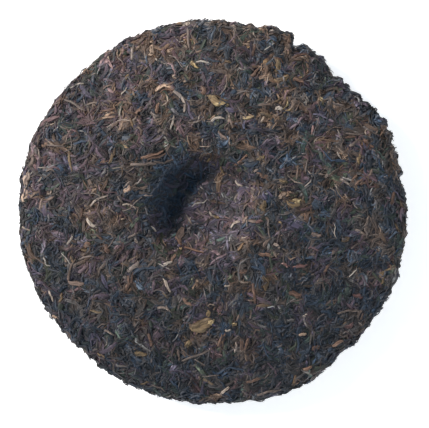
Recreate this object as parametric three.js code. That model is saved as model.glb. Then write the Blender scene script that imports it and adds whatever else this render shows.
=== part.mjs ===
// A pressed pu-erh tea cake, lying with its domed front face down and its dimple up.
// Millimetres, +Z up. The origin is under the middle of the cake, on the surface it rests on.
import * as THREE from "three";

// Driving dimensions of the cake
const cake = {
  radius: 99,
  restRadius: 34, // flat spot in the middle of the front face
  lowTurn: { radius: 92, height: 7.2 }, // where the front dome turns into the edge
  rimHeight: 13, // height of the outermost line of the edge
  highTurn: { radius: 92.5, height: 18.6 }, // where the edge turns into the back
  crown: { radius: 31, height: 25.6 }, // where the back flattens round the dimple
  topHeight: 26.4,
};

// The dimple that the knot of the pressing cloth leaves in the back
const dimple = {
  x: -0.8,
  y: 0.8,
  steepSide: 152, // degrees, counted from +X towards +Y
  gentle: { reach: 27, squareness: 2, power: 1.7, shoulder: 1.9 },
  steep: { reach: 29.5, squareness: 2.2, power: 12, shoulder: 2 },
  width: 28, // from the middle to the mouth, across the steep side's direction
  nook: { at: 200, halfWidth: 50, out: 3.6 }, // where the mouth bulges
  depth: 14.4,
  lipDepth: 2.6, // how far the steep side's lip is rounded off
  pleats: 11,
  pleatDepth: 0.35,
  smooths: 0.75, // share by which the clumps of leaf are pressed flat in it
};

// Slow waves of the edge, then what has broken off it and what stands out of it
const edge = {
  startsAt: 60, // radius from which back and front follow the edge
  waves: [
    { count: 2, out: 0.4, at: 160 },
    { count: 5, out: 0.4, at: 12 },
    { count: 11, out: 0.35, at: 5 },
    { count: 23, out: 0.35, at: 3 },
  ],
  flaked: { at: 48, halfWidth: 18, out: -4.8, drop: 1.6 }, // broken stretch, thinner too
  marks: [
    { at: 9, halfWidth: 13, out: -1.6 },
    { at: 25, halfWidth: 5, out: 1.3 },
    { at: 36, halfWidth: 5, out: -1.2 },
    { at: 45, halfWidth: 6, out: 1.5 },
    { at: 52, halfWidth: 6, out: 1.4 },
    { at: 59, halfWidth: 5, out: 1.4 },
    { at: 64, halfWidth: 4, out: -3.4 },
    { at: 71, halfWidth: 6, out: 1.5 },
    { at: 80, halfWidth: 5, out: -1.6 },
    { at: 91, halfWidth: 6, out: 0.6 },
    { at: 120, halfWidth: 8, out: 1.3 },
    { at: 132, halfWidth: 6, out: -0.9 },
    { at: 142, halfWidth: 10, out: -0.4 },
    { at: 174, halfWidth: 7, out: -1.4 },
    { at: 178, halfWidth: 34, out: 1.1 },
    { at: 194, halfWidth: 12, out: 0.5 },
    { at: 228, halfWidth: 22, out: -1.6 },
    { at: 272, halfWidth: 6, out: -0.4 },
    { at: 286, halfWidth: 10, out: 0.6 },
    { at: 298, halfWidth: 9, out: 0.8 },
    { at: 313, halfWidth: 7, out: -1 },
    { at: 320, halfWidth: 8, out: 0.7 },
    { at: 339, halfWidth: 8, out: 1.8 },
    { at: 352, halfWidth: 12, out: 1.1 },
  ],
  lift: 0.6, // how far the edge waves up and down
};

const lumps = { height: 0.5, length: 17 };
const steps = { around: 108, front: 9, edge: 4, back: 13, crown: 15 };

const radians = THREE.MathUtils.degToRad;
const { lerp, smoothstep } = THREE.MathUtils;

// One half of the section, from the middle of the front face round the edge to the top
function section() {
  const { radius, restRadius, lowTurn, rimHeight, highTurn, crown, topHeight } = cake;
  const at = (r, z) => new THREE.Vector2(r, z);
  const rest = at(restRadius, 0);
  const low = at(lowTurn.radius, lowTurn.height);
  const rim = at(radius, rimHeight);
  const high = at(highTurn.radius, highTurn.height);
  const shoulder = at(crown.radius, crown.height);
  const curves = [
    [steps.front, rest, at(58, 0), at(80, 2.6), low],
    [steps.edge, low, at(96.6, 8.8), at(radius, 10.4), rim],
    [steps.edge, rim, at(radius, 16.2), at(96.8, 18), high],
    [steps.back, high, at(78, 20.4), at(52, 25), shoulder],
    [steps.crown, shoulder, at(20, 26.2), at(8, topHeight), at(0, topHeight)],
  ];
  const points = [at(0, 0), at(restRadius / 2, 0), rest];
  for (const [count, ...ends] of curves) {
    points.push(...new THREE.CubicBezierCurve(...ends).getPoints(count).slice(1));
  }
  return points;
}

// 1 in the middle of a mark on the edge, 0 past its ends
function inMark(angle, mark) {
  const turn = angle - radians(mark.at);
  const apart = Math.abs(Math.atan2(Math.sin(turn), Math.cos(turn)));
  const share = Math.min(1, apart / radians(mark.halfWidth));
  return 0.5 + 0.5 * Math.cos(Math.PI * share);
}

// How far the edge lies outside the plain circle at an angle
function edgeOut(angle) {
  let out = 0;
  for (const wave of edge.waves) out += wave.out * Math.cos(wave.count * (angle - radians(wave.at)));
  for (const mark of [edge.flaked, ...edge.marks]) out += mark.out * inMark(angle, mark);
  return out;
}

// Depth of the dimple: one wall is steep, the far one slopes gently, and the cloth left creases
function dimpleDepth(x, y) {
  const turn = radians(dimple.steepSide);
  const [dx, dy] = [x - dimple.x, y - dimple.y];
  const towards = dx * Math.cos(turn) + dy * Math.sin(turn);
  const across = dy * Math.cos(turn) - dx * Math.sin(turn);
  const angle = Math.atan2(across, towards);
  const steepness = 0.5 + 0.5 * Math.cos(angle);
  const blend = (name) => lerp(dimple.gentle[name], dimple.steep[name], steepness);
  const square = blend("squareness");
  const squared = Math.abs(towards / blend("reach")) ** square + Math.abs(across / dimple.width) ** square;
  const bulge = 1 + (dimple.nook.out / dimple.width) * inMark(Math.atan2(dy, dx), dimple.nook);
  const share = squared ** (1 / square) / bulge;
  const bowl = dimple.depth * Math.max(0, 1 - share ** blend("power")) ** blend("shoulder");
  const sided = 0.5 + 0.5 * Math.cos(angle) * smoothstep(share, 0, 0.7);
  const lip = dimple.lipDepth * sided * (1 - smoothstep(share, 0.85, 1.45));
  const onWall = smoothstep(share, 0.25, 0.8) * (1 - smoothstep(share, 0.9, 1.7));
  return bowl + lip + dimple.pleatDepth * onWall * Math.sin(dimple.pleats * angle + 1.2 * Math.sin(3 * angle));
}

// Clumps of leaf under the surface
function lump(x, y) {
  const k = (2 * Math.PI) / lumps.length;
  const across = Math.sin(k * x + 1.7 * Math.sin(0.61 * k * y + 0.4));
  const along = Math.sin(0.83 * k * y - 1.4 * Math.sin(0.47 * k * x + 1.1));
  return lumps.height * across * along;
}

// Moves a point of the plain turned form to its place on the uneven cake
function pressed(x, y, z) {
  const radius = Math.hypot(x, y);
  const angle = Math.atan2(y, x);
  const nearEdge = smoothstep(radius, edge.startsAt, cake.radius);
  const grown = radius > 0 ? 1 + (nearEdge * edgeOut(angle)) / radius : 1;
  const onBack = smoothstep(z, cake.lowTurn.height, cake.highTurn.height);
  const offRest = smoothstep(z, 0, cake.lowTurn.height); // the flat spot stays flat
  const sunk = z > cake.highTurn.height ? dimpleDepth(x, y) : 0;
  const flattened = 1 - dimple.smooths * smoothstep(sunk, 1, 6);
  let height = z - sunk + lump(x, y) * flattened * lerp(-offRest, 1, onBack);
  height += nearEdge * edge.lift * Math.sin(2 * angle + 0.8) * Math.cos(3 * angle);
  height -= nearEdge * onBack * edge.flaked.drop * inMark(angle, edge.flaked);
  return [x * grown, y * grown, height];
}

function cakeBody() {
  const form = new THREE.LatheGeometry(section(), steps.around).rotateX(Math.PI / 2);
  const places = form.attributes.position;
  for (let i = 0; i < places.count; i++) {
    places.setXYZ(i, ...pressed(places.getX(i), places.getY(i), places.getZ(i)));
  }
  form.computeBoundingBox();
  const middle = form.boundingBox.getCenter(new THREE.Vector3());
  form.translate(-middle.x, -middle.y, 0);
  form.computeVertexNormals();
  return form;
}

const pressedLeaf = new THREE.MeshStandardMaterial({ color: 0x463f40, roughness: 0.7, metalness: 0 });
const teaCake = new THREE.Mesh(cakeBody(), pressedLeaf);
teaCake.name = "tea_cake";

const part = new THREE.Group();
part.add(teaCake);
export default part;
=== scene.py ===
# A pressed pu-erh tea cake: a dark core with thousands of rolled leaves pressed into it.
import math

import bpy
import numpy as np
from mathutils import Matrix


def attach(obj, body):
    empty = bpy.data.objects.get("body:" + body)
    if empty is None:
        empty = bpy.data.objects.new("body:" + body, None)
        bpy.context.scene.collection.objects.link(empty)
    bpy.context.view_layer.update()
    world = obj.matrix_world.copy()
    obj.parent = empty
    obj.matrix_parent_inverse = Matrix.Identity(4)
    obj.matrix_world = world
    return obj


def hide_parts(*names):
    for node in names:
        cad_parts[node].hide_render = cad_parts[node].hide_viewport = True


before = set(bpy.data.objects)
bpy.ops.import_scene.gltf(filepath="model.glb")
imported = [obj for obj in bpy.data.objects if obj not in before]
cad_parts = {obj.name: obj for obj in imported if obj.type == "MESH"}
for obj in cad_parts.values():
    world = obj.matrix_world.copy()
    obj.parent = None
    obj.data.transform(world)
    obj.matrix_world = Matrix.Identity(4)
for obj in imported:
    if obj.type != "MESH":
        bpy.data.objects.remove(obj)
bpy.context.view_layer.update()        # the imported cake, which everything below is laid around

mm = 0.001  # all lengths below are in metres
scene = bpy.context.scene
print("frame loaded")


# Camera, lamp, sky and a pale floor
view = {
    "lens": 90.0,
    "sensor": 36.0,
    "clipStart": 10 * mm,
    "across": 220.6 * mm,  # what the picture's width takes in at the height of the edge
    "lookedAt": (1.0 * mm, -1.0 * mm, 15 * mm),
    "cakeSeenAt": (0.4 * mm, 0),  # where the middle of the cake shows
}
cameraHeight = view["across"] * view["lens"] / view["sensor"]
studio = {
    "from": 152,  # degrees from +X towards +Y
    "up": 37,  # degrees above the floor
    "away": 1.5,
    "size": 0.34,
    "power": 20.4,
    "colour": (1.0, 0.91, 0.85),
    "sky": 0.26,
    "skyColour": (0.42, 0.73, 1.0),
}


def makeCamera():  # straight above, as high as the lens needs to take in the picture's width
    camera = bpy.data.objects.new("camera", bpy.data.cameras.new("camera"))
    camera.data.lens = view["lens"]
    camera.data.sensor_width = view["sensor"]
    camera.data.clip_start = view["clipStart"]
    x, y, z = view["lookedAt"]
    camera.location = (x, y, z + cameraHeight)
    scene.collection.objects.link(camera)
    scene.camera = camera


def makeLights():  # one round lamp that points at the origin, and an even sky
    light = bpy.data.lights.new("key", "AREA")
    light.shape = "DISK"
    light.size = studio["size"]
    light.energy = studio["power"]
    light.color = studio["colour"]
    lamp = bpy.data.objects.new("key", light)
    turn, lift = math.radians(studio["from"]), math.radians(studio["up"])
    towards = (math.cos(lift) * math.cos(turn), math.cos(lift) * math.sin(turn), math.sin(lift))
    lamp.location = [studio["away"] * part for part in towards]
    lamp.rotation_euler = lamp.location.to_track_quat("Z", "Y").to_euler()
    scene.collection.objects.link(lamp)
    world = bpy.data.worlds.new("sky")
    world.use_nodes = True
    sky = world.node_tree.nodes["Background"]
    sky.inputs["Color"].default_value = (*studio["skyColour"], 1)
    sky.inputs["Strength"].default_value = studio["sky"]
    scene.world = world
    scene.view_settings.view_transform = "Standard"


def newMesh(name, points, faces, material, maps=None, smooth=True):
    # The faces come as arrays with one row of corners to a face: one array for quads, one for triangles.
    mesh = bpy.data.meshes.new(name)
    corners = np.concatenate([part.ravel() for part in faces])
    totals = np.concatenate([np.full(len(part), part.shape[1]) for part in faces])
    mesh.vertices.add(len(points))
    mesh.vertices.foreach_set("co", points.astype(np.float32).ravel())
    mesh.loops.add(len(corners))
    mesh.loops.foreach_set("vertex_index", corners.astype(np.int32))
    mesh.polygons.add(len(totals))
    starts = np.concatenate([[0], np.cumsum(totals)[:-1]])
    mesh.polygons.foreach_set("loop_start", starts.astype(np.int32))
    mesh.polygons.foreach_set("use_smooth", np.full(len(totals), smooth))
    mesh.update(calc_edges=True)
    if maps is not None:
        layer = mesh.uv_layers.new(name="OFBake")
        layer.data.foreach_set("uv", maps.astype(np.float32).ravel())
    mesh.materials.append(material)
    piece = bpy.data.objects.new(name, mesh)
    scene.collection.objects.link(piece)
    return piece


def byAngle(away, turn):  # the x and y of a distance in a direction
    return np.stack([away * np.cos(turn), away * np.sin(turn)], -1)


def ringCorners(rings, sides):
    # The corners of the quads between rings of points: which ring each is on, and which step round the ring.
    ring, step = (part.ravel() for part in np.meshgrid(np.arange(rings - 1), np.arange(sides), indexing="ij"))
    return np.stack([ring, ring + 1, ring + 1, ring], 1), np.stack([step, step, step + 1, step + 1], 1)


def fan(pole, start, sides):  # triangles from a pole to each side of the ring of points that begins at start
    first = np.arange(sides)
    return np.stack([np.full(sides, pole), start + first, start + (first + 1) % sides], 1)


def addNode(tree, kind, inputs=None, **settings):  # inputs hold values, or sockets to link from
    made = tree.nodes.new(kind)
    for name, value in settings.items():
        setattr(made, name, value)
    for name, value in (inputs or {}).items():
        if isinstance(value, bpy.types.NodeSocket):
            tree.links.new(value, made.inputs[name])
        else:
            made.inputs[name].default_value = value
    return made


def calc(tree, operation, first, second=0.0, third=0.0):  # the socket with the result of a Math node
    made = addNode(tree, "ShaderNodeMath", {0: first, 1: second, 2: third}, operation=operation)
    return made.outputs[0]


def blendColours(tree, share, first, second, how="MIX"):  # the socket with the result of a Mix node
    inputs = {"Factor": share, 6: first, 7: second}
    return addNode(tree, "ShaderNodeMix", inputs, data_type="RGBA", blend_type=how).outputs[2]


def paint(red, green, blue):  # a colour as screens name it, made linear
    parts = np.array([red, green, blue]) / 255
    linear = np.where(parts <= 0.04045, parts / 12.92, ((parts + 0.055) / 1.055) ** 2.4)
    return (*linear.tolist(), 1.0)


def newMaterial(name, **constants):  # the constants are set on the shader's own sockets
    material = bpy.data.materials.new(name)
    material.use_nodes = True
    shader = material.node_tree.nodes["Principled BSDF"]
    for socket, value in constants.items():
        shader.inputs[socket.replace("_", " ")].default_value = value
    return material, material.node_tree, shader


floor = {
    "profile": [[0, 0], [0.4, 0], [0.9, 0], [1.3, 0.05], [1.6, 0.25], [1.75, 0.6], [1.8, 1.3]],
    "sides": 64,
    "below": 0.02 * mm,  # how far under the cake it lies
    "colours": (0.86, 0.88),
    "clouds": 3.0,
    "glow": 0.6,
    "roughness": 0.9,
}


def makeFloor():
    # A round floor that curves up far outside: each point of its profile is turned about the axis.
    sides = floor["sides"]
    turn = np.arange(sides) * 2 * np.pi / sides
    rings = np.array(floor["profile"][1:])
    heights = np.repeat(rings[:, 1:], sides, 1)[..., None]
    points = np.concatenate([byAngle(rings[:, :1], turn), heights], -1).reshape(-1, 3)
    points = np.vstack([[[0, 0, 0]], points])
    points[:, 2] -= floor["below"]
    ring, step = ringCorners(len(rings), sides)
    walls = 1 + ring * sides + step % sides
    constants = {"Roughness": floor["roughness"], "Emission_Strength": floor["glow"]}
    material, tree, shader = newMaterial("paleFloor", **constants)
    shader.inputs["Emission Color"].default_value = (1, 1, 1, 1)
    clouds = addNode(tree, "ShaderNodeTexNoise", {"Scale": floor["clouds"]})
    dim, bright = ((level, level, level, 1) for level in floor["colours"])
    tree.links.new(blendColours(tree, clouds.outputs[0], dim, bright), shader.inputs["Base Color"])
    newMesh("floor", points, [walls, fan(0, 1, sides)], material)


makeCamera()
makeLights()
makeFloor()
print("camera, light and floor made")


# The form of the cake, with the same sizes and formulas as the solid's
cake = {
    "radius": 99 * mm,
    "restRadius": 34 * mm,
    "lowTurn": (92 * mm, 7.2 * mm),
    "rimHeight": 13 * mm,
    "highTurn": (92.5 * mm, 18.6 * mm),
    "crown": (31 * mm, 25.6 * mm),
    "topHeight": 26.4 * mm,
    "steps": 60,  # points on each curve of the section
}
dimple = {
    "middle": (-0.8 * mm, 0.8 * mm),
    "steepSide": 152,  # degrees from +X towards +Y
    "reach": (27 * mm, 29.5 * mm),  # from the middle to the mouth, on the gentle side and on the steep one
    "width": 28 * mm,  # from the middle to the mouth, across that
    "squareness": (2.0, 2.2),  # 2 is an ellipse
    "nook": (200, 50, 3.6 * mm),  # the mouth bulges here: degrees, half width in degrees, by how much
    "power": (1.7, 12.0),  # how flat the floor is
    "shoulder": (1.9, 2.0),  # how round the mouth is
    "depth": 14.4 * mm,
    "lipDepth": 2.6 * mm,  # the steep side's lip is rounded off
    "pleats": 11,
    "pleatDepth": 0.35 * mm,
    "smooths": 0.75,  # share by which the clumps of leaf are pressed flat in it
}
edge = {
    "startsAt": 60 * mm,
    "waves": [(2, 0.4, 160), (5, 0.4, 12), (11, 0.35, 5), (23, 0.35, 3)],  # count, mm out, degrees
    "flaked": (48, 18, -4.8),  # degrees, half width in degrees, mm out
    "flakeDrop": 1.6 * mm,
    "marks": [
        (9, 13, -1.6), (25, 5, 1.3), (36, 5, -1.2), (45, 6, 1.5), (52, 6, 1.4), (59, 5, 1.4), (64, 4, -3.4),
        (71, 6, 1.5), (80, 5, -1.6), (91, 6, 0.6), (120, 8, 1.3), (132, 6, -0.9), (142, 10, -0.4),
        (174, 7, -1.4), (178, 34, 1.1), (194, 12, 0.5), (228, 22, -1.6), (272, 6, -0.4), (286, 10, 0.6),
        (298, 9, 0.8), (313, 7, -1), (320, 8, 0.7), (339, 8, 1.8), (352, 12, 1.1),
    ],
    "lift": 0.6 * mm,  # how far the edge waves up and down
}
lumps = {"height": 0.5 * mm, "length": 17 * mm}  # clumps of leaf under the surface
clumps = {  # relief too small for the solid: pits and bumps over the faces, and a ragged edge
    "height": 0.4 * mm,
    "waves": 24,
    "bumpShare": 0.35,  # bumps are pressed flatter than pits are deep
    "lengths": (5 * mm, 13 * mm),
    "edgeOut": 0.3 * mm,
    "edgeLengths": (3 * mm, 9 * mm),
    "ragged": (0.6, [(38, 62, 2.6), (240, 48, 1.2)]),  # everywhere, then degrees, half width, how much more
    "steps": [  # degrees, half width in degrees, mm out
        (7, 3, 0.7), (13, 3, 0.6), (21.5, 1.5, -1.1), (24, 1.2, 0.9), (28, 3, 0.9), (30, 1.5, -0.6),
        (36, 1.5, 0.5), (39.5, 2.5, -1.4), (44.7, 3, 1.3), (45.5, 1.2, 0.8), (48.2, 1.2, -0.9),
        (53.6, 1.2, 1.1), (54.4, 2, 1.6), (57, 2.5, 0.5), (62.8, 1.5, -1.5), (65.7, 1.7, 3),
        (68.8, 2, -1.3), (78.4, 1.4, 1.6), (80, 2, 0.8), (88, 4, 0.4), (95, 3, 0.5), (102, 4, 0.6),
        (106, 3, 0.3), (109, 5, 0.9), (116.5, 2.5, 1), (153, 4, 0.6), (163, 6, -0.7), (186, 3, 0.8),
        (210.6, 2, 1), (218, 3, 0.5), (226.5, 2, -0.7), (239, 3, -0.9), (243.5, 2, 0.5), (259.5, 1.5, 0.7),
        (269, 4, -0.9), (277, 3, 0.6), (291, 3.5, 1.3), (297.5, 3, -0.8), (310.5, 3, -0.6),
        (315.5, 2, -0.5), (341, 2.5, 1), (354, 3, 0.8),
    ],
}


def bezier(ends, count):  # (1-t)^3 a + 3 (1-t)^2 t b + 3 (1-t) t^2 c + t^3 d for t from 0 to 1
    a, b, c, d = (np.array(end) for end in ends)
    t = np.linspace(0, 1, count)[:, None]
    return (1 - t) ** 3 * a + 3 * (1 - t) ** 2 * t * b + 3 * (1 - t) * t**2 * c + t**3 * d


def makeSection():  # from the middle of the back, round the edge, to the middle of the front
    rest, low, high, crown = (cake["restRadius"], 0), cake["lowTurn"], cake["highTurn"], cake["crown"]
    rim = (cake["radius"], cake["rimHeight"])
    top = (0, cake["topHeight"])
    curves = [
        (top, (8 * mm, cake["topHeight"]), (20 * mm, 26.2 * mm), crown),
        (crown, (52 * mm, 25 * mm), (78 * mm, 20.4 * mm), high),
        (high, (96.8 * mm, 18 * mm), (cake["radius"], 16.2 * mm), rim),
        (rim, (cake["radius"], 10.4 * mm), (96.6 * mm, 8.8 * mm), low),
        (low, (80 * mm, 2.6 * mm), (58 * mm, 0), rest),
    ]
    line = np.vstack([bezier(ends, cake["steps"])[:-1] for ends in curves] + [[rest, (0, 0)]])
    run = np.concatenate([[0], np.cumsum(np.hypot(*np.diff(line, axis=0).T))])
    return line, run


section, sectionRun = makeSection()
wholeRun = sectionRun[-1]
rimRun = sectionRun[np.argmax(section[:, 0])]


def rise(value, low, high):  # 0 below low, 1 above high, smooth between
    share = np.clip((value - low) / (high - low), 0, 1)
    return share * share * (3 - 2 * share)


def inMark(angle, at, halfWidth):  # half a cosine wave: 1 in the middle, 0 past the ends
    turn = angle - math.radians(at)
    apart = np.abs(np.arctan2(np.sin(turn), np.cos(turn)))
    return 0.5 + 0.5 * np.cos(np.pi * np.minimum(1, apart / math.radians(halfWidth)))


def edgeOut(angle):  # the sum of the edge's waves and marks
    waves = sum(out * np.cos(count * (angle - math.radians(at))) for count, out, at in edge["waves"])
    marks = sum(out * inMark(angle, at, half) for at, half, out in [edge["flaked"], *edge["marks"]])
    return (waves + marks) * mm


def ragged(angle):  # how uneven the edge is at an angle
    plain, stretches = clumps["ragged"]
    return plain + sum(more * inMark(angle, at, half) for at, half, more in stretches)


steepTurn = math.radians(dimple["steepSide"])
steepWay = np.array([math.cos(steepTurn), math.sin(steepTurn)])


def fromSteep(x, y):  # the same x and y, measured towards the steep side and across that
    c, s = steepWay
    return x * c + y * s, y * c - x * s


def dimpleDepth(x, y):
    # The depth is (1 - share^power)^shoulder, where the share grows from 0 in the middle to 1 at the mouth, a
    # superellipse. Sizes and powers change from the gentle side to the steep one, whose lip is rounded off.
    # Sine waves round the wall are the cloth's creases.
    dx, dy = x - dimple["middle"][0], y - dimple["middle"][1]
    towards, across = fromSteep(dx, dy)
    angle = np.arctan2(across, towards)
    steep = 0.5 + 0.5 * np.cos(angle)
    sides = [dimple[key] for key in ("reach", "squareness", "power", "shoulder")]
    reach, square, power, shoulder = (low + steep * (high - low) for low, high in sides)
    share = (np.abs(towards / reach) ** square + np.abs(across / dimple["width"]) ** square) ** (1 / square)
    at, halfWidth, bulge = dimple["nook"]
    share /= 1 + bulge / dimple["width"] * inMark(np.arctan2(dy, dx), at, halfWidth)
    bowl = dimple["depth"] * np.maximum(0, 1 - share**power) ** shoulder
    sided = 0.5 + 0.5 * np.cos(angle) * rise(share, 0, 0.7)
    bowl += dimple["lipDepth"] * sided * (1 - rise(share, 0.85, 1.45))
    onWall = rise(share, 0.25, 0.8) * (1 - rise(share, 0.9, 1.7))
    return bowl + dimple["pleatDepth"] * onWall * np.sin(dimple["pleats"] * angle + 1.2 * np.sin(3 * angle))


def lump(x, y):  # two crossed sine waves, each bent by another
    k = 2 * np.pi / lumps["length"]
    across = np.sin(k * x + 1.7 * np.sin(0.61 * k * y + 0.4))
    return lumps["height"] * across * np.sin(0.83 * k * y - 1.4 * np.sin(0.47 * k * x + 1.1))


def makeWaves(seed, count, lengths):  # plane waves in random directions, as wave numbers and phases
    rng = np.random.default_rng(seed)
    turn = rng.uniform(0, 2 * np.pi, count)
    number = 2 * np.pi / rng.uniform(*lengths, count)
    return np.stack([number * np.cos(turn), number * np.sin(turn)]), rng.uniform(0, 2 * np.pi, count)


def sumWaves(at, waves):  # the sum of the waves' sines, of unit variance
    numbers, phases = waves
    return np.sin(at @ numbers + phases).sum(-1) * math.sqrt(2 / len(phases))


clumpWaves = makeWaves(11, clumps["waves"], clumps["lengths"])
edgeWaves = makeWaves(12, clumps["waves"], clumps["edgeLengths"])


def pressed(run, angle):
    # The section's point at a run along it is turned by the angle. Clumps and the dimple change its height,
    # and the edge's waves, marks, steps and roughness its distance from the axis.
    radius = np.interp(run, sectionRun, section[:, 0])
    plain = np.interp(run, sectionRun, section[:, 1])
    x, y = radius * np.cos(angle), radius * np.sin(angle)
    nearEdge = rise(radius, edge["startsAt"], cake["radius"])
    onBack = rise(plain, cake["lowTurn"][1], cake["highTurn"][1])
    offRest = rise(plain, 0, cake["lowTurn"][1])
    bumps = sumWaves(np.stack([x, y], -1), clumpWaves)
    bumps *= clumps["height"] * np.where(bumps > 0, clumps["bumpShare"], 1)
    sunk = np.where(plain > cake["highTurn"][1], dimpleDepth(x, y), 0)
    flattened = 1 - dimple["smooths"] * rise(sunk, 1 * mm, 6 * mm)
    height = plain + (lump(x, y) + bumps) * flattened * (onBack - (1 - onBack) * offRest) - sunk
    height += nearEdge * edge["lift"] * np.sin(2 * angle + 0.8) * np.cos(3 * angle)
    height -= nearEdge * onBack * edge["flakeDrop"] * inMark(angle, *edge["flaked"][:2])
    out = radius + nearEdge * edgeOut(angle)
    rough = clumps["edgeOut"] * ragged(angle) * sumWaves(np.stack([x, y], -1), edgeWaves)
    steps = sum(step * inMark(angle, at, half) for at, half, step in clumps["steps"]) * mm
    out += nearEdge**4 * (rough + steps)
    return np.stack([out * np.cos(angle), out * np.sin(angle), height], -1)


rimAngles = np.linspace(0, 2 * np.pi, 720)  # their box's middle becomes the axis, as in the solid
rimLine = (cake["radius"] + edgeOut(rimAngles)) * [np.cos(rimAngles), np.sin(rimAngles)]
middle = np.append((rimLine.max(1) + rimLine.min(1)) / 2, 0)


def surfaceAt(flat, onFront):
    # The run is the distance from the middle of the flat sheet, taken from the far end for the front.
    # The outward normal is the cross product of two small steps on the sheet.
    def at(sheet):
        away = np.hypot(sheet[..., 0], sheet[..., 1])
        run = np.where(onFront, wholeRun - away, away)
        return pressed(run, np.arctan2(sheet[..., 1], sheet[..., 0])) - middle

    step = 0.2 * mm
    place = at(flat)
    normal = np.cross(at(flat + [step, 0]) - place, at(flat + [0, step]) - place)
    normal *= np.where(onFront, -1.0, 1.0)[..., None]
    return place, normal / np.linalg.norm(normal, axis=-1, keepdims=True)


def sheetAt(run, angle):  # where a run and an angle lie on the flat sheet, and if that is on the front
    onFront = run > rimRun
    return byAngle(np.where(onFront, wholeRun - run, run), angle), onFront


core = {  # the dark mass under the leaves
    "under": 0.7 * mm,  # how deep it lies under the cake's surface
    "around": 260,  # steps round the axis, and along the section
    "along": 130,
    "relief": 0.2 * mm,
    "waves": 40,
    "waveLengths": (2.2 * mm, 6 * mm),
    "dark": (34, 34, 38),
    "middle": (74, 68, 72),
    "hues": (0.35, 0.3),  # the least turn of the hue, and how much more there may be
    "chipAcross": 1.5 * mm,  # the drawn chips of leaf
    "chipAlong": 5.5 * mm,
    "chipTurns": (52, 8, 110),  # degrees, one for each layer of chips
    "patches": (115.0, 140.0),  # scales of the noise that says where the later layers show
    "warp": 180.0,
    "warpBy": 2.4 * mm,
    "bump": 0.9,
    "bumpHeight": 0.5 * mm,
}


def reliefAt(points, rng):  # a sum of sine waves in space, in all directions
    total = np.zeros(len(points))
    for _ in range(core["waves"]):
        direction = rng.normal(size=3)
        direction *= 2 * np.pi / (np.linalg.norm(direction) * rng.uniform(*core["waveLengths"]))
        total += np.sin(points @ direction + rng.uniform(0, 2 * np.pi))
    return total * core["relief"] / math.sqrt(core["waves"] / 2)


def makeCore(material):
    # A grid of runs and angles on the cake's surface, sunk along its normal, with one point at each pole.
    along, around = core["along"], core["around"]
    runs = np.linspace(0, wholeRun, along + 2)[1:-1]
    turn = np.arange(around) * 2 * np.pi / around
    run, angle = (part.ravel() for part in np.meshgrid(runs, turn, indexing="ij"))
    flat, onFront = sheetAt(run, angle)
    place, normal = surfaceAt(np.vstack([flat, [[0, 0], [0, 0]]]), np.append(onFront, [False, True]))
    sunk = core["under"] + reliefAt(place, np.random.default_rng(5))
    points = place - normal * sunk[:, None]
    top, bottom = len(points) - 2, len(points) - 1
    ring, step = ringCorners(along, around)
    walls = ring * around + step % around
    poles = [fan(top, 0, around), fan(bottom, (along - 1) * around, around)[:, ::-1]]
    return newMesh("pressedCore", points, [walls, np.vstack(poles)], material)


def drawnChips(tree, place, turn):
    # Cells far longer than wide, turned about Z. Their random colours are the chips, their distances relief.
    turned = addNode(tree, "ShaderNodeMapping", {"Vector": place, "Rotation": (0.3, 0.2, math.radians(turn))})
    chipSize = (1 / core["chipAlong"], 1 / core["chipAcross"], 1 / core["chipAcross"])
    scaled = addNode(tree, "ShaderNodeVectorMath", {0: turned.outputs[0], 1: chipSize}, operation="MULTIPLY")
    return addNode(tree, "ShaderNodeTexVoronoi", {"Vector": scaled.outputs[0], "Scale": 1.0}).outputs


def makeCoreMaterial():  # three layers of drawn chips, the later ones only where a noise is high
    material, tree, shader = newMaterial("leafDust", Roughness=0.7, Specular_IOR_Level=0.3)
    place = addNode(tree, "ShaderNodeTexCoord").outputs["Object"]
    noise = {"Vector": place, "Scale": core["warp"], "Detail": 2.0}
    warp = addNode(tree, "ShaderNodeTexNoise", noise).outputs["Color"]
    shift = addNode(tree, "ShaderNodeVectorMath", {0: warp, "Scale": core["warpBy"]}, operation="SCALE")
    bent = addNode(tree, "ShaderNodeVectorMath", {0: place, 1: shift.outputs[0]}, operation="ADD").outputs[0]
    height, tone = drawnChips(tree, bent, core["chipTurns"][0])[:2]
    for turn, scale in zip(core["chipTurns"][1:], core["patches"]):
        distance, colour = drawnChips(tree, bent, turn)[:2]
        patch = addNode(tree, "ShaderNodeTexNoise", {"Vector": place, "Scale": scale}).outputs[0]
        here = addNode(tree, "ShaderNodeMapRange", {0: patch, 1: 0.5, 2: 0.53}).outputs[0]
        tone = blendColours(tree, here, tone, colour)
        height = blendColours(tree, here, height, distance)
    axes = addNode(tree, "ShaderNodeSeparateXYZ", {0: tone}).outputs
    body = blendColours(tree, axes[0], paint(*core["dark"]), paint(*core["middle"]))
    least, more = core["hues"]
    hue = calc(tree, "MULTIPLY_ADD", axes[1], more, least)
    tinted = addNode(tree, "ShaderNodeHueSaturation", {"Hue": hue, "Color": body}).outputs[0]
    tree.links.new(tinted, shader.inputs["Base Color"])
    raised = {"Height": height, "Strength": core["bump"], "Distance": core["bumpHeight"]}
    bump = addNode(tree, "ShaderNodeBump", raised, invert=True)
    tree.links.new(bump.outputs[0], shader.inputs["Normal"])
    return material


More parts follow.
